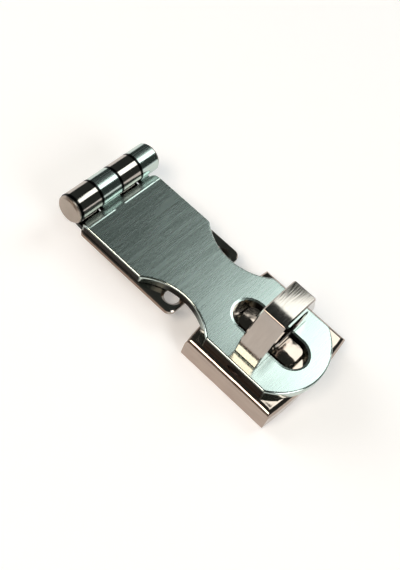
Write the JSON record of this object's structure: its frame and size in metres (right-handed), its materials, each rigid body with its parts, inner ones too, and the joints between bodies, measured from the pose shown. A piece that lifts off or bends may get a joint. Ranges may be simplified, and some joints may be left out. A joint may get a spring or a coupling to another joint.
{
  "type": "hinged hasp",
  "caption": "Polished steel hinged hasp: waisted strap on a pinned barrel hinge, its slotted head held on a block base by a swivel padlock eye turned crosswise.",
  "frame": {"origin": "centre of the leaf's four screw holes, on the leaf's mounting face", "axes": "+X from the hinge towards the staple, +Y along the hinge pin towards its riveted end, +Z away from the door"},
  "size_m": [0.0809, 0.0336, 0.0249],
  "materials": {
    "brushed_strap": "stainless steel, brushed across its width",
    "polished_leaf": "stainless steel, polished",
    "pin_steel": "stainless steel, satin on the head",
    "polished_base": "stainless steel, mirror polished",
    "polished_eye": "stainless steel, polished, with a fine grain on the crown",
    "washer_steel": "stainless steel, plain"
  },
  "bodies": {
    "leaf": {"hinge_leaf": "polished_leaf", "hinge_pin": "pin_steel"},
    "strap": {"hasp_strap": "brushed_strap", "staple_base": "polished_base"},
    "eye": {"swivel_eye": "polished_eye", "pivot_washer": "washer_steel"}
  },
  "joints": [
    {"name": "strap_hinge", "type": "hinge", "parent": "leaf", "child": "strap", "pos_m": [-0.0235, 0, 0.005], "axis": [0, -1, 0], "range_deg": [0, 180]},
    {"name": "eye_swivel", "type": "hinge", "parent": "strap", "child": "eye", "pos_m": [0.0365, 0, 0.005], "axis": [0, 0, 1], "continuous": true}
  ]
}
